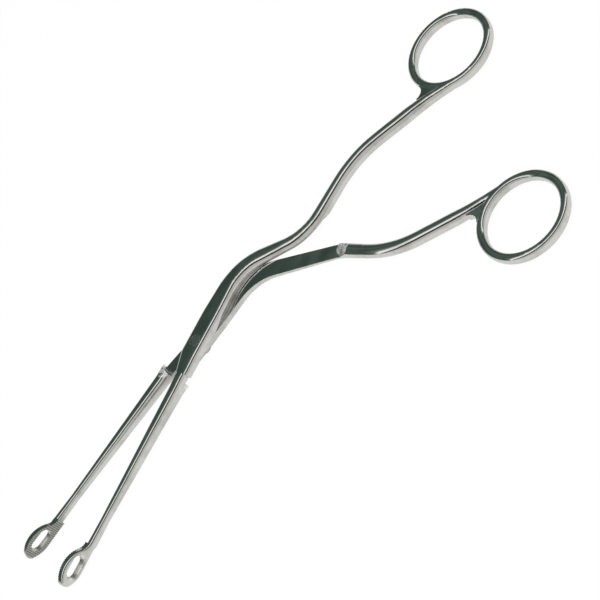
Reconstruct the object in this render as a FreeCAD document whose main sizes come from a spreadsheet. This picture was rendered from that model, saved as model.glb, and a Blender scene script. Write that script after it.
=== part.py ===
# Intubation forceps of the angled pattern: two forged steel halves that cross in a lap joint
# and turn on one flush rivet. Millimetres, +Z up along the rivet, the instrument lying flat.
# The origin is on the rivet's axis in the outer face of the rear half's lap, the face it rests on.
# Closed jaws point along -X. Each half is built closed, and its Placement then opens it for rest.
import FreeCAD, Part
import os
import Sketcher
from FreeCAD import Placement, Rotation, Vector
from math import atan2, cos, radians, sin, sqrt, tan

# Driving dimensions
# Each row is a name, its value in millimetres or degrees, and what it sets.
DIMENSIONS = [
    ("rest_opening", 13.2, "angle between the halves at rest, from closed"),
    ("jaw_line", 2.2, "rivet axis to the plane in which the jaws meet"),
    ("jaw_length", 102.5, "rivet axis to the jaw tips"),
    ("head_length", 18.0, "jaw tip to the neck of the jaw head"),
    ("neck_width", 3.3, "jaw rod across the opening, at the neck"),
    ("neck_height", 3.5, "jaw rod along the rivet axis, at the neck"),
    ("neck_clearance", 0.4, "jaw line to the rod's inner side at the neck"),
    ("neck_drop", 0.5, "jaw rod's middle at the neck, below mid height"),
    ("head_lift", 1.8, "jaw head's middle above mid height"),
    ("waist_at", 74.0, "rivet axis to the thinnest place of the jaw rod"),
    ("waist_width", 3.0, "jaw rod across the opening, at its thinnest"),
    ("waist_clearance", 0.6, "jaw line to the rod's inner side at its thinnest"),
    ("root_width", 4.9, "jaw rod across the opening, at the shoulder"),
    ("root_height", 5.4, "jaw rod along the rivet axis, at the shoulder"),
    ("root_clearance", 0.15, "jaw line to the rod's inner side at the shoulder"),
    ("head_width", 8.8, "jaw head along the rivet axis"),
    ("head_thickness", 2.9, "jaw head across the opening"),
    ("head_nose", 7.2, "tip to the widest place of the jaw head"),
    ("head_tip", 2.9, "radius of the jaw head's tip"),
    ("head_round", 1.4, "rounding of the jaw head's back"),
    ("head_blend", 4.2, "length over which the jaw rod sinks into the head"),
    ("window_length", 9.2, "window of the jaw head, lengthwise"),
    ("window_width", 4.8, "window of the jaw head, crosswise"),
    ("window_wall", 3.5, "metal between the window and the tip"),
    ("window_bevel", 0.5, "bevel round the window, on the back"),
    ("grip_clearance", 0.06, "jaw line to the grip face, closed"),
    ("groove_pitch", 0.8, "grip groove to the next"),
    ("groove_depth", 0.3, "depth of a grip groove"),
    ("lap_thickness", 3.5, "one half's thickness in the lap"),
    ("lap_gap", 0.06, "running gap between the two lap faces"),
    ("front_lap_width", 9.2, "front half's lap across, at the rivet"),
    ("rear_lap_width", 7.7, "rear half's lap across, at the rivet"),
    ("lap_edge", 4.9, "rivet axis to the laps' common edge on the +Y side"),
    ("lap_toe", 13.4, "rivet axis to the lap's end at the jaws"),
    ("toe_width", 6.8, "lap across, at its end at the jaws"),
    ("toe_height", 6.4, "lap along the rivet axis, both halves, at its end at the jaws"),
    ("lap_flat", 5.0, "rivet axis to where the lap starts to thin towards the jaws"),
    ("lap_straight", 12.0, "rivet axis to where the lap starts to taper towards the handle"),
    ("lap_round", 1.9, "rounding of the lap's outer edges"),
    ("flank_turn", 7.0, "rivet axis to the turn of the flank"),
    ("turn_reach", 4.6, "jaw line to the flank at its turn"),
    ("flank_at", 14.4, "rivet axis to the flank's widest place, beside the shoulder"),
    ("flank_reach", 5.4, "jaw line to the flank there"),
    ("root_at", 20.0, "rivet axis to where the flank has become the jaw rod"),
    ("shoulder_radius", 16.3, "rivet axis to the arc of the jaw shoulder"),
    ("bend_at", 33.0, "rivet axis to the corner of the elbow bend"),
    ("bend_radius", 22.0, "elbow bend, on the centre line"),
    ("handle_angle", 34.8, "handle axis against the jaws"),
    ("handle_offset", 12.4, "rivet axis to the handle axis"),
    ("lap_slope", 15.5, "lap past the elbow against the handle axis"),
    ("sway_radius", 20.6, "bend at which a handle leaves the lap"),
    ("bow_angle", 31.2, "slope of a handle's bow against the handle axis"),
    ("bow_at", 86.2, "foot of the handle axis to the corner of the bow"),
    ("bow_radius", 41.0, "bow of a handle, on the centre line"),
    ("shank_offset", 16.15, "handle axis to a shank beside the rings"),
    ("sway_diameter", 5.7, "shank where it leaves the lap"),
    ("shank_diameter", 5.2, "round shank from the bow to the ring"),
    ("shoulder_at", 64.5, "foot of the handle axis to the end of the lap face"),
    ("ramp_slope", 29.0, "slope of the filed ramp at the end of the lap face"),
    ("ring_reach", 137.8, "foot of the handle axis to the ring centres"),
    ("ring_offset", 29.8, "handle axis to a ring centre"),
    ("ring_hole", 29.5, "finger hole"),
    ("ring_wire", 3.3, "ring across its wire, in the plane"),
    ("ring_height", 4.2, "ring along the rivet axis"),
    ("ring_round", 1.5, "rounding of the ring's wire"),
    ("lead_radius", 100.0, "easy curve from shank into ring"),
    ("web_thickness", 3.0, "web between shank and ring"),
    ("web_round", 3.4, "hollow corner between shank and ring"),
    ("rivet_diameter", 3.2, "rivet shaft"),
    ("rivet_head", 4.6, "flush rivet head at its face"),
    ("rivet_sink", 0.9, "depth of the countersink"),
    ("rivet_clearance", 0.03, "running clearance of the rivet in the rear half"),
]
SIZE = {name: value for name, value, note in DIMENSIONS}

doc = FreeCAD.newDocument("intubation_forceps")
sheet = doc.addObject("Spreadsheet::Sheet", "sizes")
for row, (name, value, note) in enumerate(DIMENSIONS, start=1):
    sheet.set("A%d" % row, note)
    sheet.set("B%d" % row, str(value))
    sheet.setAlias("B%d" % row, name)
doc.recompute()

# Sides of the two halves
# The front half lies on top in the lap, and its jaw is on the -Y side of the jaw line.
FRONT, REAR = 1, -1
# Heights that more than one piece uses, as expressions of the sheet
MIDDLE = "(sizes.lap_thickness + sizes.lap_gap / 2)"
FULL = "(2 * sizes.lap_thickness + sizes.lap_gap)"
# The place of the neck along the jaw, from the rivet axis
NECK = "(sizes.jaw_length - sizes.head_length)"
# A half's lap: its width, and the place of its centre line in Y
LAP_WIDTH = {FRONT: "sizes.front_lap_width", REAR: "sizes.rear_lap_width"}
LAP_LINE = {side: "(sizes.lap_edge - %s / 2)" % width for side, width in LAP_WIDTH.items()}
# Grooves across a grip face, from the tip to the neck
GROOVES = 21


def origin_plane(body, role):
    """The body's own base plane of that role."""
    return next(item for item in body.Origin.OriginFeatures if item.Role == role)


def place_sketch(body, name, role, offset, turn=None):
    """A sketch on a base plane, moved by three expressions in that plane's own axes and turned."""
    sketch = body.newObject("Sketcher::SketchObject", name)
    sketch.AttachmentSupport = [(origin_plane(body, role), "")]
    sketch.MapMode = "FlatFace"
    if turn:
        axis, angle = turn
        sketch.AttachmentOffset = Placement(Vector(), Rotation(axis, 1))
        sketch.setExpression("AttachmentOffset.Rotation.Angle", angle)
    for letter, text in zip("xyz", offset):
        sketch.setExpression("AttachmentOffset.Base." + letter, text)
    return sketch


def measure(text):
    """The number an expression of the sheet gives now."""
    found = sheet.evalExpression(text)
    return getattr(found, "Value", found)


def dimension(sketch, kind, where, start, text):
    """A dimension that starts near its value and follows an expression of the sheet."""
    index = sketch.addConstraint(Sketcher.Constraint(kind, *where, start))
    sketch.setExpression("Constraints[%d]" % index, text)


def rounded_rectangle(sketch, width, height, corner):
    """Eight edges round the sketch's origin; the three sizes are expressions."""
    start_x, start_y, start_r = 3.0, 2.0, 1.0
    places = [(start_x, start_y), (-start_x, start_y), (-start_x, -start_y), (start_x, -start_y)]
    for number, (x, y) in enumerate(places):
        low = radians(90 * number)
        high = low + radians(90)
        circle = Part.Circle(Vector(x, y, 0), Vector(0, 0, 1), start_r)
        sketch.addGeometry(Part.ArcOfCircle(circle, low, high))
        out = Vector(cos(high), sin(high), 0) * start_r
        after = Vector(*places[(number + 1) % 4], 0)
        sketch.addGeometry(Part.LineSegment(Vector(x, y, 0) + out, after + out))
    for number in range(4):
        arc, line, following = 2 * number, 2 * number + 1, (2 * number + 2) % 8
        sketch.addConstraint(Sketcher.Constraint("Tangent", arc, 2, line, 1))
        sketch.addConstraint(Sketcher.Constraint("Tangent", line, 2, following, 1))
        sketch.addConstraint(Sketcher.Constraint("Vertical" if number % 2 else "Horizontal", line))
        if number:
            sketch.addConstraint(Sketcher.Constraint("Equal", 0, arc))
    sketch.addConstraint(Sketcher.Constraint("Symmetric", 0, 3, 4, 3, -1, 1))
    dimension(sketch, "Radius", (0,), start_r, corner)
    dimension(sketch, "DistanceX", (2, 3, 0, 3), 2 * start_x, "%s - 2 * %s" % (width, corner))
    dimension(sketch, "DistanceY", (4, 3, 2, 3), 2 * start_y, "%s - 2 * %s" % (height, corner))


def round_section(sketch, diameter):
    """A round section with the same eight edges."""
    rounded_rectangle(sketch, diameter, diameter, "(%s / 2 - 0.05)" % diameter)


def arc_about(centre, first, last):
    """The arc that turns left about a centre from one point to another."""
    angles = [atan2(point.y - centre.y, point.x - centre.x) for point in (first, last)]
    return Part.ArcOfCircle(Part.Circle(centre, Vector(0, 0, 1), (first - centre).Length), *angles)


def turn_corner(before, corner, after, radius):
    """The arc that rounds a corner: its geometry, and its ends in the order of travel."""
    inward = (before - corner).normalize()
    outward = (after - corner).normalize()
    half = inward.getAngle(outward) / 2
    first = corner + inward * (radius / tan(half))
    last = corner + outward * (radius / tan(half))
    centre = corner + (inward + outward).normalize() * (radius / sin(half))
    left = (corner - before).cross(after - corner).z > 0
    low, high = (first, last) if left else (last, first)
    return arc_about(centre, low, high), first, last, (1, 2) if left else (2, 1)


def handle_corners(side):
    """Corners of a half's centre line, seen along the handle axis from the foot of the rivet."""
    lap_turn, slope, bow = (radians(SIZE[name]) for name in ("handle_angle", "lap_slope", "bow_angle"))
    along = Vector(cos(lap_turn), sin(lap_turn), 0)
    across = Vector(-sin(lap_turn), cos(lap_turn), 0)
    foot = Vector(0, -SIZE["handle_offset"], 0) + across * measure(LAP_LINE[side])
    elbow = foot + along * SIZE["bend_at"]
    rise = side * tan(bow)
    level = side * SIZE["shank_offset"]
    sway_x = (elbow.y + elbow.x * tan(slope) - level + SIZE["bow_at"] * rise) / (rise + tan(slope))
    sway = Vector(sway_x, level + (sway_x - SIZE["bow_at"]) * rise, 0)
    bow_corner = Vector(SIZE["bow_at"], level, 0)
    return foot + along * SIZE["lap_straight"], elbow, sway, bow_corner


def handle_sketch(body, name):
    """A sketch at mid height in the handle's own frame: X along the handle axis from the rivet's foot."""
    offset = ["sizes.handle_offset * %s(sizes.handle_angle)" % ratio for ratio in ("sin", "cos")] + [MIDDLE]
    return place_sketch(body, name, "XY_Plane", offset, (Vector(0, 0, 1), "-sizes.handle_angle * 1 deg"))


def centre_line(body, side):
    """The path of a half from the lap to its ring, in the handle's own frame at mid height."""
    path = handle_sketch(body, "centre_line")
    start, elbow, sway, bow = handle_corners(side)
    level = side * SIZE["shank_offset"]
    ring_radius = (SIZE["ring_hole"] + SIZE["ring_wire"]) / 2
    ring = Vector(SIZE["ring_reach"], side * SIZE["ring_offset"], 0)
    lead = SIZE["lead_radius"]
    rise = SIZE["ring_offset"] - SIZE["shank_offset"] + lead
    lead_centre = Vector(ring.x - sqrt((lead + ring_radius) ** 2 - rise ** 2), level - side * lead, 0)
    lead_start = Vector(lead_centre.x, level, 0)
    lead_end = ring + (lead_centre - ring).normalize() * ring_radius

    ends = []
    corners = [(start, elbow, sway, SIZE["bend_radius"]), (elbow, sway, bow, SIZE["sway_radius"]),
               (sway, bow, lead_start, SIZE["bow_radius"])]
    here = start
    for before, corner, after, radius in corners:
        arc, first, last, order = turn_corner(before, corner, after, radius)
        path.addGeometry(Part.LineSegment(here, first))
        path.addGeometry(arc)
        ends.append(order)
        here = last
    path.addGeometry(Part.LineSegment(here, lead_start))
    travel = [lead_start, lead_end] if side == REAR else [lead_end, lead_start]
    path.addGeometry(arc_about(lead_centre, *travel))
    ends.append((1, 2) if side == REAR else (2, 1))
    path.addGeometry(Part.Circle(ring, Vector(0, 0, 1), ring_radius), True)

    for number, (first, last) in enumerate(ends):
        line, arc = 2 * number, 2 * number + 1
        path.addConstraint(Sketcher.Constraint("Tangent", line, 2, arc, first))
        if number < 3:
            path.addConstraint(Sketcher.Constraint("Tangent", arc, last, line + 2, 1))
    path.addConstraint(Sketcher.Constraint("Tangent", 7, ends[3][1], 8))

    path.addConstraint(Sketcher.Constraint("Horizontal", 6))
    turn_in = "tan((sizes.handle_angle + sizes.lap_slope) / 2)"
    back = "%s * sin(sizes.handle_angle)" % LAP_LINE[side]
    down = "%s * cos(sizes.handle_angle)" % LAP_LINE[side]
    dimension(path, "DistanceX", (-1, 1, 0, 1), start.x,
              "sizes.lap_straight * cos(sizes.handle_angle) - " + back)
    dimension(path, "DistanceY", (0, 1, -1, 1), -start.y,
              "sizes.handle_offset - sizes.lap_straight * sin(sizes.handle_angle) - " + down)
    dimension(path, "DistanceX", (-1, 1, 0, 2), path.Geometry[0].EndPoint.x,
              "(sizes.bend_at - sizes.bend_radius * %s) * cos(sizes.handle_angle) - %s" % (turn_in, back))
    dimension(path, "DistanceX", (-1, 1, 6, 1), path.Geometry[6].StartPoint.x,
              "sizes.bow_at + sizes.bow_radius * tan(sizes.bow_angle / 2)")
    for line, name, sense in ((0, "handle_angle", 1), (2, "lap_slope", -1), (4, "bow_angle", side)):
        turn = radians(sense * SIZE[name])
        dimension(path, "Angle", (line,), turn, "%d * sizes.%s * 1 deg" % (sense, name))
    for arc, name in ((1, "bend_radius"), (3, "sway_radius"), (5, "bow_radius"), (7, "lead_radius")):
        dimension(path, "Radius", (arc,), SIZE[name], "sizes." + name)
    dimension(path, "Radius", (8,), ring_radius, "(sizes.ring_hole + sizes.ring_wire) / 2")
    dimension(path, "DistanceX", (-1, 1, 8, 3), ring.x, "sizes.ring_reach")
    for where, name in (((6, 1), "shank_offset"), ((8, 3), "ring_offset")):
        order = (-1, 1) + where if side == FRONT else where + (-1, 1)
        dimension(path, "DistanceY", order, SIZE[name], "sizes." + name)
    return path, ends


def section_on_path(body, name, path, edge, parameter):
    """A sketch square to the path at one end of an edge."""
    sketch = body.newObject("Sketcher::SketchObject", name)
    sketch.AttachmentSupport = [(path, edge)]
    sketch.MapMode = "NormalToEdge"
    sketch.MapPathParameter = parameter
    return sketch


def sweep(body, name, path, edges, profile, last=None):
    """A profile carried along edges of the path, changing into the last section if there is one."""
    pipe = body.newObject("PartDesign::AdditivePipe", name)
    pipe.Profile = profile
    pipe.Spine = (path, edges)
    if last:
        pipe.Transformation = "Multisection"
        pipe.Sections = [last]
    return pipe


def loft(body, name, first, last):
    """A straight loft between two sections."""
    solid = body.newObject("PartDesign::AdditiveLoft", name)
    solid.Profile = first
    solid.Sections = [last]
    return solid


def arm_section(body, name, along, across, up, width, height, corner):
    """A rounded section square to the jaws; the texts give its place and its size."""
    sketch = place_sketch(body, name, "YZ_Plane", (across, up, along))
    rounded_rectangle(sketch, width, height, corner)
    return sketch


def jaw_side(side, distance):
    """The Y place that lies a distance off the jaw line, on this half's own side."""
    return "sizes.jaw_line - %d * (%s)" % (side, distance)


def lap(body, side, path):
    """The thick flat stretch round the rivet, the elbow, and the taper to the round shank."""
    width, line, corner = LAP_WIDTH[side], LAP_LINE[side], "sizes.lap_round"
    toe_line = "(%s - %d * (%s - sizes.toe_width) / 2)" % (line, side, width)
    toe = arm_section(body, "toe_section", "-sizes.lap_toe", toe_line, MIDDLE, "sizes.toe_width",
                      "sizes.toe_height", corner)
    start = arm_section(body, "flat_section", "-sizes.lap_flat", line, MIDDLE, width, FULL, corner)
    loft(body, "lap_end", toe, start)
    flat = body.newObject("PartDesign::Pad", "lap_flat_part")
    flat.Profile = start
    flat.setExpression("Length", "sizes.lap_flat + sizes.lap_straight")
    begin = section_on_path(body, "taper_section", path, "Edge1", 0)
    rounded_rectangle(begin, width, FULL, corner)
    end = section_on_path(body, "sway_section", path, "Edge3", 1)
    round_section(end, "sizes.sway_diameter")
    sweep(body, "elbow", path, ["Edge1", "Edge2", "Edge3"], begin, end)
    return end


def jaw_arm(body, side):
    """The neck, the jaw rod and the flank beside the shoulder, added one after another from the head."""
    root_edge, edge = "sizes.lap_round", "(0.45 * %s)"
    line = LAP_LINE[side]
    start_width = "(0.64 * %s)" % LAP_WIDTH[side]
    start_line = "(%s - %d * 0.18 * %s)" % (line, side, LAP_WIDTH[side])
    inner = "sizes.root_clearance"
    low, high = "(%s - sizes.neck_drop)" % MIDDLE, "(%s + 0.3 * sizes.head_lift)" % MIDDLE
    neck_width, waist_width = "sizes.neck_width", "sizes.waist_width"
    end_width = "(0.6 * sizes.head_thickness)"
    rows = [
        ("flank_start", "0", start_line, MIDDLE, start_width, FULL, root_edge),
        ("turn_section", "-sizes.flank_turn", jaw_side(side, "(sizes.turn_reach + %s) / 2" % inner), MIDDLE,
         "(sizes.turn_reach - %s)" % inner, "sizes.toe_height", root_edge),
        ("flank_section", "-sizes.flank_at", jaw_side(side, "(sizes.flank_reach + %s) / 2" % inner), MIDDLE,
         "(sizes.flank_reach - %s)" % inner, "sizes.toe_height", root_edge),
        ("root_section", "-sizes.root_at", jaw_side(side, inner + " + sizes.root_width / 2"), MIDDLE,
         "sizes.root_width", "sizes.root_height", root_edge),
        ("waist_section", "-sizes.waist_at", jaw_side(side, "sizes.waist_clearance + sizes.waist_width / 2"),
         "(%s - 0.7 * sizes.neck_drop)" % MIDDLE, waist_width, "(1.07 * sizes.waist_width)",
         edge % waist_width),
        ("neck_section", "-" + NECK, jaw_side(side, "sizes.neck_clearance + sizes.neck_width / 2"), low,
         neck_width, "sizes.neck_height", edge % neck_width),
        ("blend_section", "-(%s + sizes.head_blend)" % NECK, jaw_side(side, "0.55 * sizes.head_thickness"),
         high, end_width, "(0.9 * sizes.neck_height)", edge % end_width),
    ]
    sections = [arm_section(body, *row) for row in reversed(rows)]
    names = ("neck", "thin_rod", "jaw_rod", "root", "flank_end", "flank")
    for name, first, last in zip(names, sections, sections[1:]):
        loft(body, name, first, last)


def shank(body, side, path, ends, section):
    """The round shank through its bow, and the easy curve that thins it into the ring."""
    slim = section_on_path(body, "bow_section", path, "Edge5", 1)
    round_section(slim, "sizes.shank_diameter")
    sweep(body, "shank_start", path, ["Edge4", "Edge5"], section, slim)
    sweep(body, "shank_rod", path, ["Edge6", "Edge7"], slim)
    first = section_on_path(body, "lead_section", path, "Edge7", 1)
    round_section(first, "sizes.shank_diameter")
    last = section_on_path(body, "ring_section", path, "Edge8", ends[3][1] - 1)
    inside = "0.92 * sizes."
    rounded_rectangle(last, inside + "ring_wire", inside + "ring_height", inside + "ring_round")
    sweep(body, "ring_lead", path, ["Edge8"], first, last)


def finger_ring(body, side):
    """The ring, turned about its own centre."""
    across = "(sizes.handle_offset + %d * sizes.ring_offset)" % side
    middle = "(sizes.ring_hole + sizes.ring_wire) / 2"
    centre_x = "%s * sin(sizes.handle_angle) + sizes.ring_reach * cos(sizes.handle_angle)" % across
    centre_y = "%s * cos(sizes.handle_angle) - sizes.ring_reach * sin(sizes.handle_angle)" % across
    offset = ("%s + %s" % (centre_x, middle), MIDDLE, "-(%s)" % centre_y)
    wire = place_sketch(body, "ring_wire_section", "XZ_Plane", offset)
    rounded_rectangle(wire, "sizes.ring_wire", "sizes.ring_height", "sizes.ring_round")
    axis = wire.addGeometry(Part.LineSegment(Vector(-10, -3, 0), Vector(-10, 3, 0)), True)
    wire.addConstraint(Sketcher.Constraint("Symmetric", axis, 1, axis, 2, -1))
    dimension(wire, "DistanceX", (axis, 1, -1, 1), 10, middle)
    dimension(wire, "DistanceY", (axis, 1, axis, 2), 6, "sizes.ring_height")
    ring = body.newObject("PartDesign::Revolution", "ring")
    ring.Profile = wire
    ring.ReferenceAxis = (wire, ["Axis0"])
    ring.Angle = 360


def ring_web(body, side):
    """The flat web that fills the hollow corner between the shank and the ring."""
    sketch = handle_sketch(body, "web_outline")
    radius = (SIZE["ring_hole"] + SIZE["ring_wire"]) / 2
    outer = radius + SIZE["ring_wire"] / 2
    corner = SIZE["web_round"]
    half = SIZE["shank_diameter"] / 2
    rise = SIZE["ring_offset"] - SIZE["shank_offset"]
    level = side * SIZE["shank_offset"]
    ring = Vector(SIZE["ring_reach"], side * SIZE["ring_offset"], 0)
    reach = sqrt((outer + corner) ** 2 - (rise - half - corner) ** 2)
    hollow = Vector(ring.x - reach, level + side * (half + corner), 0)
    flank = Vector(hollow.x, level + side * half, 0)
    foot = Vector(hollow.x, level, 0)
    meet = Vector(ring.x - sqrt(radius ** 2 - rise ** 2), level, 0)
    toward = (hollow - ring).normalize()
    inner = ring + toward * radius
    touch = ring + toward * outer
    angles = [atan2(point.y - ring.y, point.x - ring.x) % radians(360) for point in (meet, inner)]
    turns = [atan2(point.y - hollow.y, point.x - hollow.x) % radians(360) for point in (flank, touch)]
    low = 1 if side == REAR else 2
    high = 3 - low
    sketch.addGeometry(Part.LineSegment(flank, foot))
    sketch.addGeometry(Part.LineSegment(foot, meet))
    ring_middle = Part.Circle(ring, Vector(0, 0, 1), radius)
    sketch.addGeometry(Part.ArcOfCircle(ring_middle, min(angles), max(angles)))
    sketch.addGeometry(Part.LineSegment(inner, touch))
    start, stop = reversed(turns) if side == REAR else turns
    sketch.addGeometry(Part.ArcOfCircle(Part.Circle(hollow, Vector(0, 0, 1), corner), start, stop))
    for rule in (("Coincident", 0, 2, 1, 1), ("Vertical", 0), ("Horizontal", 1),
                 ("Coincident", 1, 2, 2, low), ("Perpendicular", 2, high, 3, 1),
                 ("Perpendicular", 3, 2, 4, low), ("Perpendicular", 4, high, 0, 1)):
        sketch.addConstraint(Sketcher.Constraint(*rule))
    for where, name in (((1, 1), "shank_offset"), ((2, 3), "ring_offset")):
        order = (-1, 1) + where if side == FRONT else where + (-1, 1)
        dimension(sketch, "DistanceY", order, SIZE[name], "sizes." + name)
    dimension(sketch, "DistanceX", (-1, 1, 2, 3), ring.x, "sizes.ring_reach")
    dimension(sketch, "Radius", (2,), radius, "(sizes.ring_hole + sizes.ring_wire) / 2")
    dimension(sketch, "Radius", (4,), corner, "sizes.web_round")
    dimension(sketch, "Distance", (3,), outer - radius, "sizes.ring_wire / 2")
    dimension(sketch, "Distance", (0,), half, "sizes.shank_diameter / 2")
    web = body.newObject("PartDesign::Pad", "web")
    web.Profile = sketch
    web.SideType = "Symmetric"
    web.setExpression("Length", "sizes.web_thickness")


def edges_where(feature, test):
    """Names of a feature's edges whose middle and box pass a test."""
    return ["Edge%d" % number for number, edge in enumerate(feature.Shape.Edges, start=1) if test(edge)]


def face_sketch(body, name, side, along):
    """A sketch in the grip face, its origin at the head's middle height, that far from the rivet."""
    grip = jaw_side(side, "sizes.grip_clearance")
    offset = ("-(%s)" % along, "%s + sizes.head_lift" % MIDDLE, "-(%s)" % grip)
    return place_sketch(body, name, "XZ_Plane", offset)


def mirrored(point):
    """The point on the other side of the sketch's X axis."""
    return Vector(point.x, -point.y, 0)


def head_outline(sketch):
    """Oval nose and two full sides; a hollow arc above and a straight line below run out into the neck."""
    full_text = ("((sizes.head_nose - sizes.head_tip) ^ 2 + sizes.head_width ^ 2 / 4 - sizes.head_tip ^ 2)"
                 " / (sizes.head_width - 2 * sizes.head_tip)")
    top_text = "sizes.neck_height / 2 - sizes.neck_drop - sizes.head_lift"
    full, top = measure(full_text), measure(top_text)
    nose, tip, half = SIZE["head_nose"], SIZE["head_tip"], SIZE["head_width"] / 2
    neck, bottom = SIZE["head_length"], top - SIZE["neck_height"]
    drop = top - half + full
    hollow = ((neck - nose) ** 2 + drop ** 2 - full ** 2) / (2 * full - 2 * drop)
    nose_centre = Vector(tip, 0, 0)
    side_centre = Vector(nose, half - full, 0)
    neck_centre = Vector(neck, top + hollow, 0)
    nose_touch = nose_centre + (nose_centre - side_centre).normalize() * tip
    neck_touch = side_centre + (neck_centre - side_centre).normalize() * full
    neck_top, neck_low = Vector(neck, top, 0), Vector(neck, bottom, 0)
    low_touch = Vector(nose, -half, 0)
    sketch.addGeometry(arc_about(side_centre, neck_touch, nose_touch))
    sketch.addGeometry(arc_about(neck_centre, neck_touch, neck_top))
    sketch.addGeometry(arc_about(mirrored(side_centre), mirrored(nose_touch), low_touch))
    sketch.addGeometry(Part.LineSegment(low_touch, neck_low))
    sketch.addGeometry(arc_about(nose_centre, nose_touch, mirrored(nose_touch)))
    sketch.addGeometry(Part.LineSegment(neck_low, neck_top))
    for rule in (("Tangent", 0, 2, 4, 1), ("Tangent", 4, 2, 2, 1), ("Tangent", 0, 1, 1, 1),
                 ("Tangent", 2, 2, 3, 1), ("Perpendicular", 1, 2, 5, 2), ("Coincident", 5, 1, 3, 2),
                 ("Vertical", 5), ("PointOnObject", 4, 3, -1), ("Equal", 0, 2)):
        sketch.addConstraint(Sketcher.Constraint(*rule))
    dimension(sketch, "Radius", (4,), tip, "sizes.head_tip")
    dimension(sketch, "Radius", (0,), full, full_text)
    dimension(sketch, "DistanceX", (-1, 1, 4, 3), tip, "sizes.head_tip")
    dimension(sketch, "DistanceX", (-1, 1, 0, 3), nose, "sizes.head_nose")
    dimension(sketch, "DistanceX", (-1, 1, 2, 3), nose, "sizes.head_nose")
    dimension(sketch, "DistanceX", (-1, 1, 5, 1), neck, "sizes.head_length")
    dimension(sketch, "DistanceY", (5, 1, 5, 2), top - bottom, "sizes.neck_height")
    dimension(sketch, "DistanceY", (5, 1, -1, 1), -bottom,
              "sizes.neck_drop + sizes.head_lift + sizes.neck_height / 2")


def polygon(sketch, corners):
    """Straight edges through corners; each corner is a pair of expressions, and 0 stands on the axis."""
    places = [Vector(measure(across), measure(up), 0) for across, up in corners]
    for number, (across, up) in enumerate(corners):
        sketch.addGeometry(Part.LineSegment(places[number], places[(number + 1) % len(places)]))
    for number, (across, up) in enumerate(corners):
        before = (number - 1) % len(places)
        sketch.addConstraint(Sketcher.Constraint("Coincident", before, 2, number, 1))
        for kind, text, axis in (("DistanceX", across, -2), ("DistanceY", up, -1)):
            if text == "0":
                sketch.addConstraint(Sketcher.Constraint("PointOnObject", number, 1, axis))
            else:
                dimension(sketch, kind, (-1, 1, number, 1), measure(text), text)


def pocket(body, name, sketch, length, both_ways=False, upwards=False):
    """A cut of that length; a plain one goes down from its sketch."""
    cut = body.newObject("PartDesign::Pocket", name)
    cut.Profile = sketch
    cut.SideType = "Symmetric" if both_ways else "One side"
    cut.Reversed = upwards
    cut.setExpression("Length", length)
    return cut


def jaw_head(body, side):
    """The flat oval head with its rounded back, its window and the grooves across its grip face."""
    outline = face_sketch(body, "head_outline", side, "sizes.jaw_length")
    head_outline(outline)
    head = body.newObject("PartDesign::Pad", "head")
    head.Profile = outline
    head.Reversed = side == REAR
    head.setExpression("Length", "sizes.head_thickness")
    doc.recompute()
    back_y = measure(jaw_side(side, "sizes.grip_clearance + sizes.head_thickness"))

    def on_back(edge):
        return max(abs(edge.BoundBox.YMin - back_y), abs(edge.BoundBox.YMax - back_y)) < 0.001

    rounding = body.newObject("PartDesign::Fillet", "head_back")
    rounding.Base = (head, edges_where(head, on_back))
    rounding.setExpression("Radius", "sizes.head_round")
    doc.recompute()

    middle = "sizes.jaw_length - sizes.window_wall - sizes.window_length / 2"
    opening = face_sketch(body, "window_outline", side, middle)
    rounded_rectangle(opening, "sizes.window_length", "sizes.window_width", "(0.48 * sizes.window_width)")
    window = pocket(body, "window", opening, "3 * sizes.head_thickness", both_ways=True)
    doc.recompute()
    centre_x, reach_x = -measure(middle), SIZE["window_length"] / 2 + 0.1
    centre_z, reach_z = measure(MIDDLE + " + sizes.head_lift"), SIZE["window_width"] / 2 + 0.01

    def on_window_back(edge):
        inside = abs(edge.CenterOfMass.x - centre_x) < reach_x
        narrow = abs(edge.CenterOfMass.z - centre_z) < reach_z
        return on_back(edge) and inside and narrow

    bevel = body.newObject("PartDesign::Chamfer", "window_bevel")
    bevel.Base = (window, edges_where(window, on_window_back))
    bevel.setExpression("Size", "sizes.window_bevel")

    first_groove = "-(sizes.jaw_length - 1.5 * sizes.groove_pitch)"
    place = (first_groove, jaw_side(side, "sizes.grip_clearance"), MIDDLE)
    notch = place_sketch(body, "groove_section", "XY_Plane", place)
    polygon(notch, [("-sizes.groove_depth", "0"), ("sizes.groove_depth", "0"),
                    ("0", "%d * sizes.groove_depth" % -side)])
    groove = pocket(body, "groove", notch, "3 * sizes.head_width", both_ways=True)
    pattern = body.newObject("PartDesign::LinearPattern", "grooves")
    pattern.Originals = [groove]
    pattern.Direction = (origin_plane(body, "X_Axis"), [""])
    pattern.Occurrences = GROOVES
    pattern.setExpression("Length", "%d * sizes.groove_pitch" % (GROOVES - 1))
    body.Tip = pattern


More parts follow.
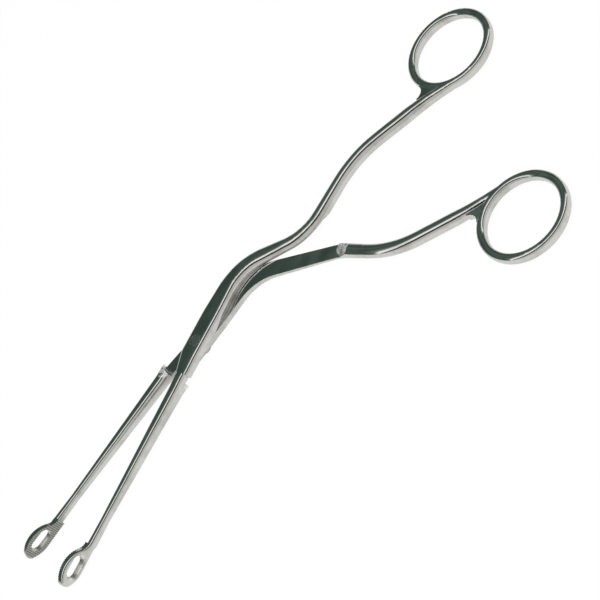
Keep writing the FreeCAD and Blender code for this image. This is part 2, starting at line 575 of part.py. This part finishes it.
def lap_recess(body, side):
    """Takes the other half's layer away, inside the shoulder's arc and along the handle to a ramp."""
    face = "(sizes.lap_thickness + sizes.lap_gap)" if side == FRONT else "sizes.lap_thickness"
    deep = "(sizes.lap_thickness + sizes.lap_gap + 0.5)"
    disc = place_sketch(body, "shoulder_arc", "XY_Plane", ("0", "0", face))
    disc.addGeometry(Part.Circle(Vector(), Vector(0, 0, 1), SIZE["shoulder_radius"]))
    disc.addConstraint(Sketcher.Constraint("Coincident", 0, 3, -1, 1))
    dimension(disc, "Radius", (0,), SIZE["shoulder_radius"], "sizes.shoulder_radius")
    pocket(body, "shoulder", disc, deep, upwards=side == REAR)
    strip = place_sketch(body, "ramp_profile", "XZ_Plane", ("0", face, "0"),
                         (Vector(0, 1, 0), "-sizes.handle_angle * 1 deg"))
    bottom = "%d * %s" % (-side, deep)
    run = "(%s / tan(sizes.ramp_slope))" % deep
    ramp_foot = "(sizes.shoulder_at + %s)" % run
    polygon(strip, [("0", "0"), ("sizes.shoulder_at", "0"), (ramp_foot, bottom), ("0", bottom)])
    pocket(body, "lap_face", strip, "sizes.shoulder_at + 4 * sizes.front_lap_width", both_ways=True)


def rivet_bore(body, side):
    """The hole for the rivet with the countersink in this half's outer face."""
    room = "0" if side == FRONT else "sizes.rivet_clearance"
    shaft, head = ("(sizes.%s / 2 + %s)" % (name, room) for name in ("rivet_diameter", "rivet_head"))
    if side == FRONT:
        inner, sink, outer = "sizes.lap_thickness", "(%s - sizes.rivet_sink)" % FULL, FULL
    else:
        inner, sink, outer = "(sizes.lap_thickness + sizes.lap_gap)", "sizes.rivet_sink", "0"
    profile = place_sketch(body, "bore_profile", "XZ_Plane", ("0", "0", "0"))
    polygon(profile, [("0", inner), (shaft, inner), (shaft, sink), (head, outer), ("0", outer)])
    bore = body.newObject("PartDesign::Groove", "rivet_bore")
    bore.Profile = profile
    bore.ReferenceAxis = (profile, ["V_Axis"])
    bore.Angle = 360


def half(name, side):
    """One half of the instrument: jaw, lap, handle and finger ring, forged in one piece."""
    body = doc.addObject("PartDesign::Body", name)
    jaw_head(body, side)
    jaw_arm(body, side)
    path, ends = centre_line(body, side)
    section = lap(body, side, path)
    shank(body, side, path, ends, section)
    finger_ring(body, side)
    ring_web(body, side)
    lap_recess(body, side)
    rivet_bore(body, side)
    body.Placement = Placement(Vector(), Rotation(Vector(0, 0, 1), 1))
    body.setExpression("Placement.Rotation.Angle", "%d * sizes.rest_opening / 2 * 1 deg" % side)
    return body


def pivot_rivet():
    """The rivet, flush with both outer faces, its two heads spread into the countersinks."""
    body = doc.addObject("PartDesign::Body", "pivot_rivet")
    profile = place_sketch(body, "rivet_profile", "XZ_Plane", ("0", "0", "0"))
    shaft, head = "(sizes.rivet_diameter / 2)", "(sizes.rivet_head / 2)"
    polygon(profile, [("0", "0"), (head, "0"), (shaft, "sizes.rivet_sink"),
                      (shaft, "(%s - sizes.rivet_sink)" % FULL), (head, FULL), ("0", FULL)])
    rivet = body.newObject("PartDesign::Revolution", "rivet")
    rivet.Profile = profile
    rivet.ReferenceAxis = (profile, ["V_Axis"])
    rivet.Angle = 360
    return body


pieces = [half("front_half", FRONT), half("rear_half", REAR), pivot_rivet()]
doc.recompute()

# Write each piece
os.makedirs("parts", exist_ok=True)
for item in doc.Objects:
    if "Invalid" in item.State or "Error" in item.State:
        raise RuntimeError("%s is not built: %s" % (item.Label, item.State))
for piece in pieces:
    shape = piece.Shape
    if shape.isNull() or not shape.isValid() or len(shape.Solids) != 1:
        raise RuntimeError("%s is not one valid solid" % piece.Label)
    shape.exportStep("parts/%s.step" % piece.Label)
    print("%-12s %8.1f mm3" % (piece.Label, shape.Volume))
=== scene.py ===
# %% [markdown]
# Intubation forceps in polished steel, dressed for a product picture.
#
# The real instrument is three pieces: two forged halves that cross in a lap joint, and the rivet
# that they turn on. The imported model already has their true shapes, so this lesson keeps all three
# as they are and works on what makes steel look like steel. Mirror-bright metal has hardly any
# colour of its own. It shows the room it lies in, and then the small marks that files, stones and
# buffing wheels left on it. So the lesson builds a camera, a room with a table, and three finishes.

from math import cos, pi, radians, sin

import bpy
from mathutils import Matrix, Vector

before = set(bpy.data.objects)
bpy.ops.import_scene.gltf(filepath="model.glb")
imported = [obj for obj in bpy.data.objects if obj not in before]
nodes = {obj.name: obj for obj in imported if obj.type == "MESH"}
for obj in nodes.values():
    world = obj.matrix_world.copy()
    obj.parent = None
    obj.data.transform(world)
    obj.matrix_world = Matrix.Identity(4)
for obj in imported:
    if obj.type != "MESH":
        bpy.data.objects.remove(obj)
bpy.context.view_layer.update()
print("nodes", sorted(nodes))


# %% [markdown]
# ## Camera
# A long lens from about 70 cm keeps the two rings nearly the same size, as in a catalogue picture.
# The camera looks down at forty odd degrees and is turned about its own line of sight, so the jaws
# hang to the lower left. It could be stored as one pasted matrix, but a few plain numbers can be
# read and changed by hand: the point it aims at, two angles of looking, the turn, the distance and
# the lens.

# %% Camera
AIM = Vector((0.03189, -0.03279, 0.00353))
LOOK_SIDEWAYS = radians(8.32)
LOOK_DOWN = radians(42.61)
TURN = radians(51.54)
DISTANCE = 0.7108
SENSOR = 36.0
LENS = 117.0
NEAREST = 0.01


def add_camera():
    """A camera that looks at AIM from the front and above, turned about its line of sight."""
    level = cos(LOOK_DOWN)
    look = Vector((sin(LOOK_SIDEWAYS) * level, cos(LOOK_SIDEWAYS) * level, -sin(LOOK_DOWN)))
    data = bpy.data.cameras.new("product_camera")
    data.sensor_width = SENSOR
    data.lens = LENS
    data.clip_start = NEAREST
    camera = bpy.data.objects.new("product_camera", data)
    bpy.context.scene.collection.objects.link(camera)
    upright = look.to_track_quat("-Z", "Y").to_matrix().to_4x4()
    place = Matrix.Translation(AIM - look * DISTANCE)
    camera.matrix_world = place @ upright @ Matrix.Rotation(-TURN, 4, "Z")
    bpy.context.scene.camera = camera
    return camera


camera = add_camera()
print("lens", LENS, "mm, camera at", [round(v, 3) for v in camera.matrix_world.translation])

# %% [markdown]
# ## Small helpers
# Every material below is made of shader nodes. These helpers add a node and set its choices, join
# two sockets, and do one sum. They keep the later cells short enough to read as recipes.


# %% Helpers for shader nodes
def add_node(tree, kind, **settings):
    """A node of that kind, with its settings."""
    node = tree.nodes.new(kind)
    for name, value in settings.items():
        setattr(node, name, value)
    return node


def wire(tree, source, target):
    """A link between two sockets."""
    tree.links.new(source, target)


def feed(tree, value, socket):
    """Gives a socket a plain number or another socket's value."""
    if isinstance(value, (int, float)):
        socket.default_value = value
    else:
        wire(tree, value, socket)


def maths(tree, operation, *values):
    """A sum, product or other operation on sockets or plain numbers; returns its output."""
    node = add_node(tree, "ShaderNodeMath", operation=operation)
    for socket, value in zip(node.inputs, values):
        feed(tree, value, socket)
    return node.outputs[0]


print("helpers ready:", add_node.__name__, wire.__name__, feed.__name__, maths.__name__)


# %% [markdown]
# ## The room that the steel mirrors
# Look at any polished rod on a white table. Its top is dark, because it mirrors the far wall. Where
# it turns towards the camera comes one thin bright line, the ceiling light, then a black line, and
# then a broad pale band, which is the near side of the room and the table. A photograph of a room
# would give that too, but a colour ramp gives it with full control. The ramp runs over one angle:
# from the far horizon, over the ceiling, to the horizon behind the camera.
# Only the steel sees the ramp. The camera itself sees plain white behind the object.

# %% Colours of the room
FAR_SIDE = Vector((sin(LOOK_SIDEWAYS), cos(LOOK_SIDEWAYS), 0))
FAR_WALL = (0.074, 0.106, 0.089)
CEILING_LIGHT = (1.150, 1.150, 1.120)
# Each stop is a share of the half turn from the far horizon, and the colour that stands there.
ROOM_STOPS = [
    (0.000, (0.60, 0.62, 0.60)),
    (0.040, (0.32, 0.35, 0.33)),
    (0.075, (0.075, 0.100, 0.086)),
    (0.180, FAR_WALL),
    (0.222, (0.046, 0.074, 0.060)),
    (0.256, (0.110, 0.150, 0.128)),
    (0.340, (0.064, 0.099, 0.082)),
    (0.400, (0.180, 0.220, 0.195)),
    (0.432, (0.300, 0.340, 0.310)),
    (0.446, CEILING_LIGHT),
    (0.552, CEILING_LIGHT),
    (0.566, (0.220, 0.085, 0.070)),
    (0.590, (0.014, 0.013, 0.013)),
    (0.668, (0.018, 0.018, 0.018)),
    (0.700, (0.420, 0.410, 0.390)),
    (0.780, (0.680, 0.665, 0.640)),
    (1.000, (0.720, 0.705, 0.680)),
]
print("the far wall is", FAR_WALL, "and the ceiling light is", CEILING_LIGHT)


# %% Build the room
def fill_ramp(ramp, stops):
    """Gives a colour ramp its stops, each a place from 0 to 1 and a colour."""
    elements = ramp.color_ramp.elements
    while len(elements) < len(stops):
        elements.new(0.5)
    for element, (place, color) in zip(elements, stops):
        element.position = place
        element.color = (*color, 1)


def add_room():
    """White behind the object, and the ramp of the room for everything that the steel mirrors."""
    world = bpy.data.worlds.new("room")
    bpy.context.scene.world = world
    world.use_nodes = True
    tree = world.node_tree
    tree.nodes.clear()
    place = add_node(tree, "ShaderNodeTexCoord")
    split = add_node(tree, "ShaderNodeSeparateXYZ")
    wire(tree, place.outputs["Generated"], split.inputs[0])
    forward = add_node(tree, "ShaderNodeVectorMath", operation="DOT_PRODUCT")
    wire(tree, place.outputs["Generated"], forward.inputs[0])
    forward.inputs[1].default_value = FAR_SIDE
    turn = maths(tree, "ARCTAN2", split.outputs["Z"], forward.outputs["Value"])
    share = maths(tree, "DIVIDE", turn, pi)
    ramp = add_node(tree, "ShaderNodeValToRGB")
    wire(tree, share, ramp.inputs[0])
    fill_ramp(ramp, ROOM_STOPS)
    walls = add_node(tree, "ShaderNodeBackground")
    wire(tree, ramp.outputs[0], walls.inputs["Color"])
    white = add_node(tree, "ShaderNodeBackground")
    white.inputs["Color"].default_value = (1, 1, 1, 1)
    ray = add_node(tree, "ShaderNodeLightPath")
    mix = add_node(tree, "ShaderNodeMixShader")
    wire(tree, ray.outputs["Is Camera Ray"], mix.inputs[0])
    wire(tree, walls.outputs[0], mix.inputs[1])
    wire(tree, white.outputs[0], mix.inputs[2])
    out = add_node(tree, "ShaderNodeOutputWorld")
    wire(tree, mix.outputs[0], out.inputs["Surface"])


add_room()
print("stops in the room's ramp", len(ROOM_STOPS))

# %% [markdown]
# ## The table
# The table is a white sheet. The camera sees it almost pure white, with only a breath of shadow,
# and the steel sees it as a light warm grey, so that the sides of the rods stay a shade darker than
# the background and keep their outline. One plain white diffuse sheet can't do both, because the
# light that makes it white would burn out the steel, so its brightness depends on who looks at it.

# %% Table brightness and shape
SEEN_BY_CAMERA = 0.97
SEEN_BY_STEEL = 0.62
MIRRORED_WHITE = (0.74, 0.725, 0.70, 1)
SHEET_WHITE = (0.9, 0.9, 0.89, 1)
TABLE_REACH = 3.0


def add_table():
    """A white sheet under the instrument."""
    material = bpy.data.materials.new("white_sheet")
    material.use_nodes = True
    tree = material.node_tree
    tree.nodes.clear()
    matt = add_node(tree, "ShaderNodeBsdfDiffuse")
    matt.inputs["Color"].default_value = SHEET_WHITE
    glow = add_node(tree, "ShaderNodeEmission")
    glow.inputs["Color"].default_value = (1, 1, 1, 1)
    mirrored = add_node(tree, "ShaderNodeEmission")
    mirrored.inputs["Color"].default_value = MIRRORED_WHITE
    ray = add_node(tree, "ShaderNodeLightPath")
    for_steel = add_node(tree, "ShaderNodeMixShader")
    seen = maths(tree, "MULTIPLY", ray.outputs["Is Glossy Ray"], SEEN_BY_STEEL)
    wire(tree, seen, for_steel.inputs[0])
    wire(tree, matt.outputs[0], for_steel.inputs[1])
    wire(tree, mirrored.outputs[0], for_steel.inputs[2])
    for_camera = add_node(tree, "ShaderNodeMixShader")
    seen = maths(tree, "MULTIPLY", ray.outputs["Is Camera Ray"], SEEN_BY_CAMERA)
    wire(tree, seen, for_camera.inputs[0])
    wire(tree, for_steel.outputs[0], for_camera.inputs[1])
    wire(tree, glow.outputs[0], for_camera.inputs[2])
    out = add_node(tree, "ShaderNodeOutputMaterial")
    wire(tree, for_camera.outputs[0], out.inputs["Surface"])
    mesh = bpy.data.meshes.new("table")
    sides = ((-1, -1), (1, -1), (1, 1), (-1, 1))
    corners = [(x * TABLE_REACH, y * TABLE_REACH, 0) for x, y in sides]
    mesh.from_pydata(corners, [], [(0, 1, 2, 3)])
    mesh.materials.append(material)
    table = bpy.data.objects.new("table", mesh)
    bpy.context.scene.collection.objects.link(table)
    return table


table = add_table()
print("table", [round(v, 1) for v in table.dimensions], "metres")

# %% [markdown]
# ## The lamp
# One large soft lamp hangs over the table. It lights the sheet and the few satin places on the
# steel. The steel doesn't mirror the lamp itself: its hard square would cut the slim rods into
# patches, and the ceiling line in the room's ramp already gives the one highlight that runs along
# every rod.

# %% Lamp
LAMP_PLACE = (-0.1, -0.35, 0.9)
LAMP_SIDE = 0.6
LAMP_WATTS = 9.0


def add_lamp(name, place, side, power):
    """A square soft lamp that points at the rivet and isn't mirrored."""
    data = bpy.data.lights.new(name, "AREA")
    data.shape = "SQUARE"
    data.size = side
    data.energy = power
    lamp = bpy.data.objects.new(name, data)
    bpy.context.scene.collection.objects.link(lamp)
    place = Vector(place)
    aim = (-place).to_track_quat("-Z", "Y").to_matrix().to_4x4()
    lamp.matrix_world = Matrix.Translation(place) @ aim
    lamp.visible_glossy = False
    return lamp


lamp = add_lamp("soft_lamp", LAMP_PLACE, LAMP_SIDE, LAMP_WATTS)
print("lamp", lamp.name, lamp.data.energy, "watts")

# %% [markdown]
# ## Marks that all three pieces share
# Polishing never takes everything away. Up close the steel has very fine lines along the way the
# wheel ran, a few deeper scratches, and a faint cloudiness from hands and cloths. These effects are
# on more than one piece, so each is a shader node group with named sockets, built once. A painted
# picture could hold them too, but it would blur close up, and a noise that is stretched one way
# stays sharp at any distance.


# %% Helpers for node groups
def new_group(name, takes, gives):
    """An empty shader group; returns its tree and its two end nodes."""
    tree = bpy.data.node_groups.new(name, "ShaderNodeTree")
    for label, (kind, value) in takes.items():
        socket = tree.interface.new_socket(name=label, in_out="INPUT", socket_type=kind)
        if value is not None:
            socket.default_value = value
    for label in gives:
        tree.interface.new_socket(name=label, in_out="OUTPUT", socket_type="NodeSocketFloat")
    return tree, add_node(tree, "NodeGroupInput"), add_node(tree, "NodeGroupOutput")


def smooth_step(tree, value, low, high):
    """A soft change from 0 to 1 while the value goes from low to high."""
    node = add_node(tree, "ShaderNodeMapRange", interpolation_type="SMOOTHSTEP")
    wire(tree, value, node.inputs["Value"])
    node.inputs["From Min"].default_value = low
    node.inputs["From Max"].default_value = high
    return node.outputs["Result"]


def add_noise(tree, place, **values):
    """A noise over that place, with its values; returns its grey output."""
    node = add_node(tree, "ShaderNodeTexNoise")
    wire(tree, place, node.inputs["Vector"])
    for name, value in values.items():
        feed(tree, value, node.inputs[name])
    return node.outputs["Fac"]


def use_group(tree, group, place, **values):
    """A group at work in a material, with its own place and values; returns its outputs."""
    node = add_node(tree, "ShaderNodeGroup", node_tree=group)
    wire(tree, place, node.inputs["Vector"])
    for name, value in values.items():
        node.inputs[name].default_value = value
    return node.outputs


print("helpers ready:", new_group.__name__, smooth_step.__name__, add_noise.__name__,
      use_group.__name__)


# %% Wheel marks: fine lines one way, and a few scratches
SCRATCH_STARTS, SCRATCH_FULL = 0.68, 0.76


def build_wheel_marks():
    """Noise that is stretched along X: its fine lines, and a coarser one's few peaks."""
    tree, given, result = new_group(
        "wheel_marks",
        {"Vector": ("NodeSocketVector", None), "Along": ("NodeSocketFloat", 120.0),
         "Across": ("NodeSocketFloat", 6000.0)},
        ("Lines", "Scratches"))
    stretch = add_node(tree, "ShaderNodeCombineXYZ")
    wire(tree, given.outputs["Along"], stretch.inputs[0])
    for number in (1, 2):
        wire(tree, given.outputs["Across"], stretch.inputs[number])
    spread = add_node(tree, "ShaderNodeVectorMath", operation="MULTIPLY")
    wire(tree, given.outputs["Vector"], spread.inputs[0])
    wire(tree, stretch.outputs[0], spread.inputs[1])
    lines = add_noise(tree, spread.outputs[0], Scale=1.0, Detail=3.0)
    wire(tree, lines, result.inputs["Lines"])
    deeper = add_noise(tree, spread.outputs[0], Scale=0.31, Detail=1.0, Distortion=0.4)
    scratches = smooth_step(tree, deeper, SCRATCH_STARTS, SCRATCH_FULL)
    wire(tree, scratches, result.inputs["Scratches"])
    return tree


wheel_marks = build_wheel_marks()
print("group", wheel_marks.name, "with", len(wheel_marks.nodes), "nodes")


# %% Handling: the cloudy film of hands and cloths, and the slow swell that polishing leaves
CLOUD_STARTS, CLOUD_FULL = 0.42, 0.68


def build_handling():
    """Two round noises of one size: clouds with fine edges, and a smooth swell."""
    tree, given, result = new_group(
        "handling",
        {"Vector": ("NodeSocketVector", None), "Size": ("NodeSocketFloat", 90.0)},
        ("Cloud", "Swell"))
    place, size = given.outputs["Vector"], given.outputs["Size"]
    cloud = add_noise(tree, place, Scale=size, Detail=5.0, Roughness=0.62)
    wire(tree, smooth_step(tree, cloud, CLOUD_STARTS, CLOUD_FULL), result.inputs["Cloud"])
    wire(tree, add_noise(tree, place, Scale=size, Detail=0.0), result.inputs["Swell"])
    return tree


handling = build_handling()
print("group", handling.name, "with", len(handling.nodes), "nodes")


# %% Local patch: where a file or a stone worked last
PATCH_FADES = 0.8


def build_patch():
    """A ball about a centre: 1 inside, and 0 from its reach outwards."""
    tree, given, result = new_group(
        "patch",
        {"Vector": ("NodeSocketVector", None), "Centre": ("NodeSocketVector", None),
         "Reach": ("NodeSocketFloat", 0.004)},
        ("Mask",))
    away = add_node(tree, "ShaderNodeVectorMath", operation="DISTANCE")
    wire(tree, given.outputs["Vector"], away.inputs[0])
    wire(tree, given.outputs["Centre"], away.inputs[1])
    share = maths(tree, "DIVIDE", away.outputs["Value"], given.outputs["Reach"])
    inside = maths(tree, "SUBTRACT", 1.0, smooth_step(tree, share, PATCH_FADES, 1.0))
    wire(tree, inside, result.inputs["Mask"])
    return tree


patch = build_patch()
print("group", patch.name, "with", len(patch.nodes), "nodes")

# %% [markdown]
# ## Polished steel
# Both halves are the same forged stainless steel, polished bright. The recipe is one metal shader:
# a neutral grey that is a little darker in the cloudy places, a low roughness that rises with the
# cloud and the scratches, and a bump so shallow that only the highlights notice it. On top come a
# few local patches, where the maker filed the steel to fit and didn't polish it bright again: on
# the rear half's ramp, where its lap face ends, and at the shoulders beside the jaws. Filed steel
# scatters light in a way that a mirror doesn't, so in the streaks the shader is only partly metal
# and takes some plain light from the lamp.
#
# A Bevel node gives the bump its starting normals. The mesh of a rod is made of narrow facets, and
# the mirror shows every one. The node blends the normals over a fraction of a millimetre, as the
# wheel does to the real edges.

# %% A patch of cross marks
# How often per metre the noise changes across a mark and along it.
MARKS_ACROSS = 1700.0
MARKS_ALONG = 260.0


def add_patch(tree, place, centre, reach, slope):
    """Where a patch lies, and the lines across it at that slope in the XY plane."""
    ball = use_group(tree, patch, place, Centre=centre, Reach=reach)
    turned = add_node(tree, "ShaderNodeMapping")
    turned.inputs["Rotation"].default_value = (0, 0, slope)
    wire(tree, place, turned.inputs["Vector"])
    # The wheel's lines run along X and these stand across it, so the two sizes change places.
    lines = use_group(tree, wheel_marks, turned.outputs[0], Along=MARKS_ACROSS, Across=MARKS_ALONG)
    return ball["Mask"], lines["Lines"]


print("cross marks stand about", round(1000 / MARKS_ACROSS, 2), "mm apart")

# %% Where the file worked last
# Each row is a centre in metres at rest, how far the patch reaches, and the slope of its lines.
FRONT_PATCHES = [((-0.0162, -0.0030, 0.0020), 0.0026, radians(30))]
REAR_PATCHES = [((0.0568, -0.0376, 0.0050), 0.0044, radians(72.6)),
                ((-0.0160, 0.0066, 0.0058), 0.0028, radians(-35))]
print("patches", len(FRONT_PATCHES), "on the front half,", len(REAR_PATCHES), "on the rear half")


# %% [markdown]
# ## Grip faces and windows
# The jaw heads are worked differently from the rest. Their grip faces are cut with fine grooves and
# left as the cutter leaves them, dull, so that they hold a wet tube; their darker colour is painted
# shade in the grooves. The window is filed through, and its walls stay satin; their paler colour is
# a painted highlight. Both are found by place: the grip face is a plane through each half's own jaw
# line, and the window is a stretched ball round its centre.

# %% Where the grip face and the window are
# All lengths are metres in the frame of the closed jaws, measured from the rivet.
REST_TURN = {"front_half": radians(6.6), "rear_half": radians(-6.6)}
JAW_LINE = 0.0022
HEAD_START = 0.0835
HEAD_BLEND = (-0.002, 0.001)
GRIP_DEPTH = (0.00042, 0.00055)
WINDOW_CENTRE = (-0.0944, JAW_LINE, 0.00533)
WINDOW_STRETCH = (1.9, 8.0, 1.0)
WINDOW_REACH = 0.0030


def jaw_frame(tree, place, half):
    """The place in the closed jaws' own frame: X along the jaw, Y off the rivet, Z up."""
    node = add_node(tree, "ShaderNodeMapping", vector_type="POINT")
    node.inputs["Rotation"].default_value = (0, 0, -REST_TURN[half])
    wire(tree, place, node.inputs["Vector"])
    return node.outputs["Vector"]


def head_masks(tree, place, half):
    """Masks from 0 to 1 for the whole head, its grip face and the walls of its window."""
    closed = jaw_frame(tree, place, half)
    split = add_node(tree, "ShaderNodeSeparateXYZ")
    wire(tree, closed, split.inputs[0])
    along = maths(tree, "MULTIPLY", split.outputs["X"], -1.0)
    head = smooth_step(tree, along, *(HEAD_START + step for step in HEAD_BLEND))
    off = maths(tree, "ABSOLUTE", maths(tree, "SUBTRACT", split.outputs["Y"], JAW_LINE))
    near = maths(tree, "SUBTRACT", 1.0, smooth_step(tree, off, *GRIP_DEPTH))
    grip = maths(tree, "MULTIPLY", head, near)
    flat = add_node(tree, "ShaderNodeMapping", vector_type="TEXTURE")
    flat.inputs["Location"].default_value = WINDOW_CENTRE
    flat.inputs["Scale"].default_value = WINDOW_STRETCH
    wire(tree, closed, flat.inputs["Vector"])
    window = use_group(tree, patch, flat.outputs[0], Reach=WINDOW_REACH)
    return head, grip, window["Mask"]


print("the heads start", 1000 * HEAD_START, "mm from the rivet")

# %% Helpers for the steels
BUMP_DEPTH = 0.00002
BEVEL_SAMPLES = 6


def plus(tree, value, mask, amount):
    """The value, and that amount more where the mask is 1."""
    return maths(tree, "ADD", value, maths(tree, "MULTIPLY", mask, amount))


def mix_colors(tree, share, first, second):
    """A blend of two colours; each is a socket or a plain colour."""
    node = add_node(tree, "ShaderNodeMix", data_type="RGBA")
    wire(tree, share, node.inputs["Factor"])
    for name, value in (("A", first), ("B", second)):
        socket = next(item for item in node.inputs if item.name == name and item.type == "RGBA")
        if isinstance(value, tuple):
            socket.default_value = value
        else:
            wire(tree, value, socket)
    return next(item for item in node.outputs if item.type == "RGBA")


def new_steel(name):
    """A material of plain metal; returns it with its tree, its shader and its own place."""
    material = bpy.data.materials.new(name)
    material.use_nodes = True
    tree = material.node_tree
    shader = tree.nodes["Principled BSDF"]
    shader.inputs["Metallic"].default_value = 1.0
    return material, tree, shader, add_node(tree, "ShaderNodeTexCoord").outputs["Object"]


def add_bump(tree, shader, height, strength, radius):
    """A shallow bump on normals that are blended over that radius, so that facets mirror softly."""
    bump = add_node(tree, "ShaderNodeBump")
    bump.inputs["Strength"].default_value = strength
    bump.inputs["Distance"].default_value = BUMP_DEPTH
    wire(tree, height, bump.inputs["Height"])
    rounded = add_node(tree, "ShaderNodeBevel", samples=BEVEL_SAMPLES)
    feed(tree, radius, rounded.inputs["Radius"])
    wire(tree, rounded.outputs["Normal"], bump.inputs["Normal"])
    wire(tree, bump.outputs["Normal"], shader.inputs["Normal"])


print("one unit of height stands for", 1000 * BUMP_DEPTH, "mm")

# %% The steel of the two halves
BRIGHT_STEEL = (0.66, 0.665, 0.655, 1)
CLOUDED_STEEL = (0.54, 0.545, 0.53, 1)
GROUND_STEEL = (0.74, 0.74, 0.72, 1)
# Paler than the bright steel: a painted highlight on the window walls, which are also really satin.
SATIN_STEEL_AND_HIGHLIGHT = (0.78, 0.76, 0.72, 1)
# Darker than the bright steel: painted shade in the grip grooves, on a really dull cut finish.
CUT_STEEL_AND_GROOVE_SHADE = (0.40, 0.405, 0.39, 1)

# How much each effect adds to the roughness of the bare polish.
POLISH = 0.075
CLOUD_DULLS, SCRATCH_DULLS, STREAK_DULLS, WINDOW_DULLS, GRIP_DULLS = 0.05, 0.16, 0.38, 0.34, 0.12
# How high each effect stands, in parts of the bump's depth.
LINE_RISES, SCRATCH_SINKS, SWELL_RISES, STREAK_RISES = 0.6, 0.8, 34.0, 5.0
STEEL_BUMP = 0.22
# How much of the mirror is lost where the steel was filed.
STREAK_SCATTERS, WINDOW_SCATTERS = 0.5, 0.6
STREAK_STARTS, STREAK_FULL = 0.42, 0.6
# Edges are blended widely on the rods, and hardly at all on the grooved heads.
ROD_ROUNDING, HEAD_ROUNDING = 0.00026, 0.00002


def polished_steel(name, half, patches):
    """The bright steel of a half, with its own head and local patches."""
    material, tree, shader, place = new_steel(name)
    marks = use_group(tree, wheel_marks, place, Along=60.0, Across=3400.0)
    film = use_group(tree, handling, place, Size=150.0)

    color = mix_colors(tree, film["Cloud"], BRIGHT_STEEL, CLOUDED_STEEL)
    roughness = plus(tree, POLISH, film["Cloud"], CLOUD_DULLS)
    roughness = plus(tree, roughness, marks["Scratches"], SCRATCH_DULLS)
    height = maths(tree, "MULTIPLY", marks["Lines"], LINE_RISES)
    height = plus(tree, height, marks["Scratches"], -SCRATCH_SINKS)
    height = plus(tree, height, film["Swell"], SWELL_RISES)
    metal = 1.0
    for centre, reach, slope in patches:
        mask, lines = add_patch(tree, place, centre, reach, slope)
        cut = smooth_step(tree, lines, STREAK_STARTS, STREAK_FULL)
        streak = maths(tree, "MULTIPLY", mask, cut)
        color = mix_colors(tree, streak, color, GROUND_STEEL)
        roughness = plus(tree, roughness, streak, STREAK_DULLS)
        height = plus(tree, height, streak, STREAK_RISES)
        metal = plus(tree, metal, streak, -STREAK_SCATTERS)
    head, grip, window = head_masks(tree, place, half)
    # The paler window walls are a painted highlight; their added roughness and lower metal below are
    # a real satin finish.
    color = mix_colors(tree, window, color, SATIN_STEEL_AND_HIGHLIGHT)
    # The darker grip face is painted shade in its grooves; the roughness added below is its real
    # dull cut finish.
    color = mix_colors(tree, grip, color, CUT_STEEL_AND_GROOVE_SHADE)
    roughness = plus(tree, roughness, window, WINDOW_DULLS)
    roughness = plus(tree, roughness, grip, GRIP_DULLS)
    metal = plus(tree, metal, window, -WINDOW_SCATTERS)
    wire(tree, metal, shader.inputs["Metallic"])
    wire(tree, color, shader.inputs["Base Color"])
    wire(tree, roughness, shader.inputs["Roughness"])
    rounding = plus(tree, ROD_ROUNDING, head, HEAD_ROUNDING - ROD_ROUNDING)
    add_bump(tree, shader, height, STEEL_BUMP, rounding)
    return material


front_steel = polished_steel("front_steel", "front_half", FRONT_PATCHES)
rear_steel = polished_steel("rear_steel", "rear_half", REAR_PATCHES)
print(front_steel.name, len(front_steel.node_tree.nodes), "nodes,", rear_steel.name,
      len(rear_steel.node_tree.nodes), "nodes")

# %% [markdown]
# ## The rivet
# The rivet is hammered into its countersinks and then stoned flush with both laps, so from a
# distance it nearly disappears. What gives it away is a satin finish with marks that run round its
# axis, and the hair line where its head meets the lap. The rings come from a wave pattern round the
# Z axis: the rivet stands on the origin, so the pattern needs no placing.

# %% The rivet's steel
STONED_STEEL = (0.66, 0.66, 0.65, 1)
STONED_CLOUD = (0.5, 0.5, 0.49, 1)
SATIN = 0.2
RING_DULLS, WEAR_DULLS = 0.10, 0.15
RIVET_BUMP = 0.5
RIVET_ROUNDING = 0.00015


def turned_steel(name):
    """Satin steel with marks that run round the rivet's own axis."""
    material, tree, shader, place = new_steel(name)
    rings = add_node(tree, "ShaderNodeTexWave", wave_type="RINGS", rings_direction="Z")
    rings.inputs["Scale"].default_value = 900.0
    rings.inputs["Distortion"].default_value = 1.4
    rings.inputs["Detail"].default_value = 2.0
    wire(tree, place, rings.inputs["Vector"])
    marks = use_group(tree, wheel_marks, place, Along=900.0, Across=3000.0)
    film = use_group(tree, handling, place, Size=600.0)
    color = mix_colors(tree, film["Cloud"], STONED_STEEL, STONED_CLOUD)
    wire(tree, color, shader.inputs["Base Color"])
    roughness = plus(tree, SATIN, rings.outputs["Fac"], RING_DULLS)
    roughness = plus(tree, roughness, marks["Scratches"], WEAR_DULLS)
    wire(tree, roughness, shader.inputs["Roughness"])
    add_bump(tree, shader, rings.outputs["Fac"], RIVET_BUMP, RIVET_ROUNDING)
    return material


rivet_steel = turned_steel("rivet_steel")
print(rivet_steel.name, len(rivet_steel.node_tree.nodes), "nodes")

# %% [markdown]
# ## Dress the three pieces
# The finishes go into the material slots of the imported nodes. The meshes are left alone, so the
# instrument keeps its exact size, and its jaws still meet.

# %% Put the finishes on
FINISHES = {"front_half": front_steel, "rear_half": rear_steel, "pivot_rivet": rivet_steel}
for name, finish in FINISHES.items():
    slots = nodes[name].material_slots
    for slot in slots:
        slot.material = finish
    print(name, "wears", finish.name, "in", len(slots), "slot")

# %% [markdown]
# ## Finish
# The plain view transform shows colours about as they are written.

# %% Finish
bpy.context.scene.view_settings.view_transform = "Standard"
